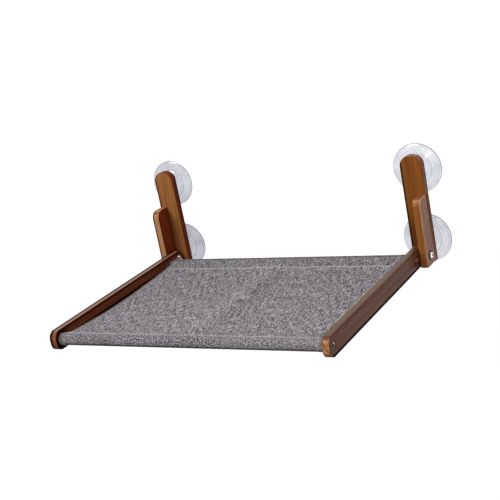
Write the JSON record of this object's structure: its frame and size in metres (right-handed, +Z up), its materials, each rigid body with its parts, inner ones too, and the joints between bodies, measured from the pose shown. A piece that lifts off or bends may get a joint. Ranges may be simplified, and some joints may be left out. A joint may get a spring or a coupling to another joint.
{
  "type": "window mounted cat perch",
  "caption": "Folding window seat for a cat: wooden arms and steel rails carry a fabric sling on posts with suction cups.",
  "frame": {"origin": "on the glass, at the centre of the four suction cups", "axes": "+Z up, +Y towards the window, +X to the right seen from the room"},
  "size_m": [0.545, 0.4053, 0.197],
  "materials": {
    "post_wood": "stained, satin",
    "plate_wood": "stained, satin",
    "arm_wood": "stained, satin",
    "cup_pvc": "clear, glossy",
    "rail_steel": "plated, satin",
    "bolt_steel": "bright plated",
    "washer_steel": "zinc plated",
    "washer_black": "blackened",
    "spacer_nylon": "natural",
    "stud_steel": "zinc plated",
    "insert_brass": "plain",
    "sling_cloth": "grey melange weave"
  },
  "bodies": {
    "brackets": {"left_post": "post_wood", "right_post": "post_wood", "left_side_plate": "plate_wood", "right_side_plate": "plate_wood", "upper_left_cup": "cup_pvc", "lower_left_cup": "cup_pvc", "upper_right_cup": "cup_pvc", "lower_right_cup": "cup_pvc", "left_pivot_bolt": "bolt_steel", "right_pivot_bolt": "bolt_steel", "left_cap_nut": "bolt_steel", "right_cap_nut": "bolt_steel", "left_nut_washer": "washer_steel", "right_nut_washer": "washer_steel", "left_head_washer": "washer_black", "right_head_washer": "washer_black", "left_spacer_washer": "spacer_nylon", "right_spacer_washer": "spacer_nylon", "left_cup_studs": "stud_steel", "right_cup_studs": "stud_steel", "left_plate_screws": "stud_steel", "right_plate_screws": "stud_steel", "left_cup_inserts": "insert_brass", "right_cup_inserts": "insert_brass"},
    "seat": {"left_arm": "arm_wood", "right_arm": "arm_wood", "front_rail": "rail_steel", "rear_rail": "rail_steel", "front_rail_plugs": "stud_steel", "rear_rail_plugs": "stud_steel", "front_rail_bolts": "bolt_steel", "rear_rail_bolts": "bolt_steel", "sling": "sling_cloth"}
  },
  "joints": [
    {"name": "seat_fold", "type": "hinge", "parent": "brackets", "child": "seat", "pos_m": [0, -0.0445, -0.0725], "axis": [-1, 0, 0], "range_deg": [0, 90]}
  ]
}
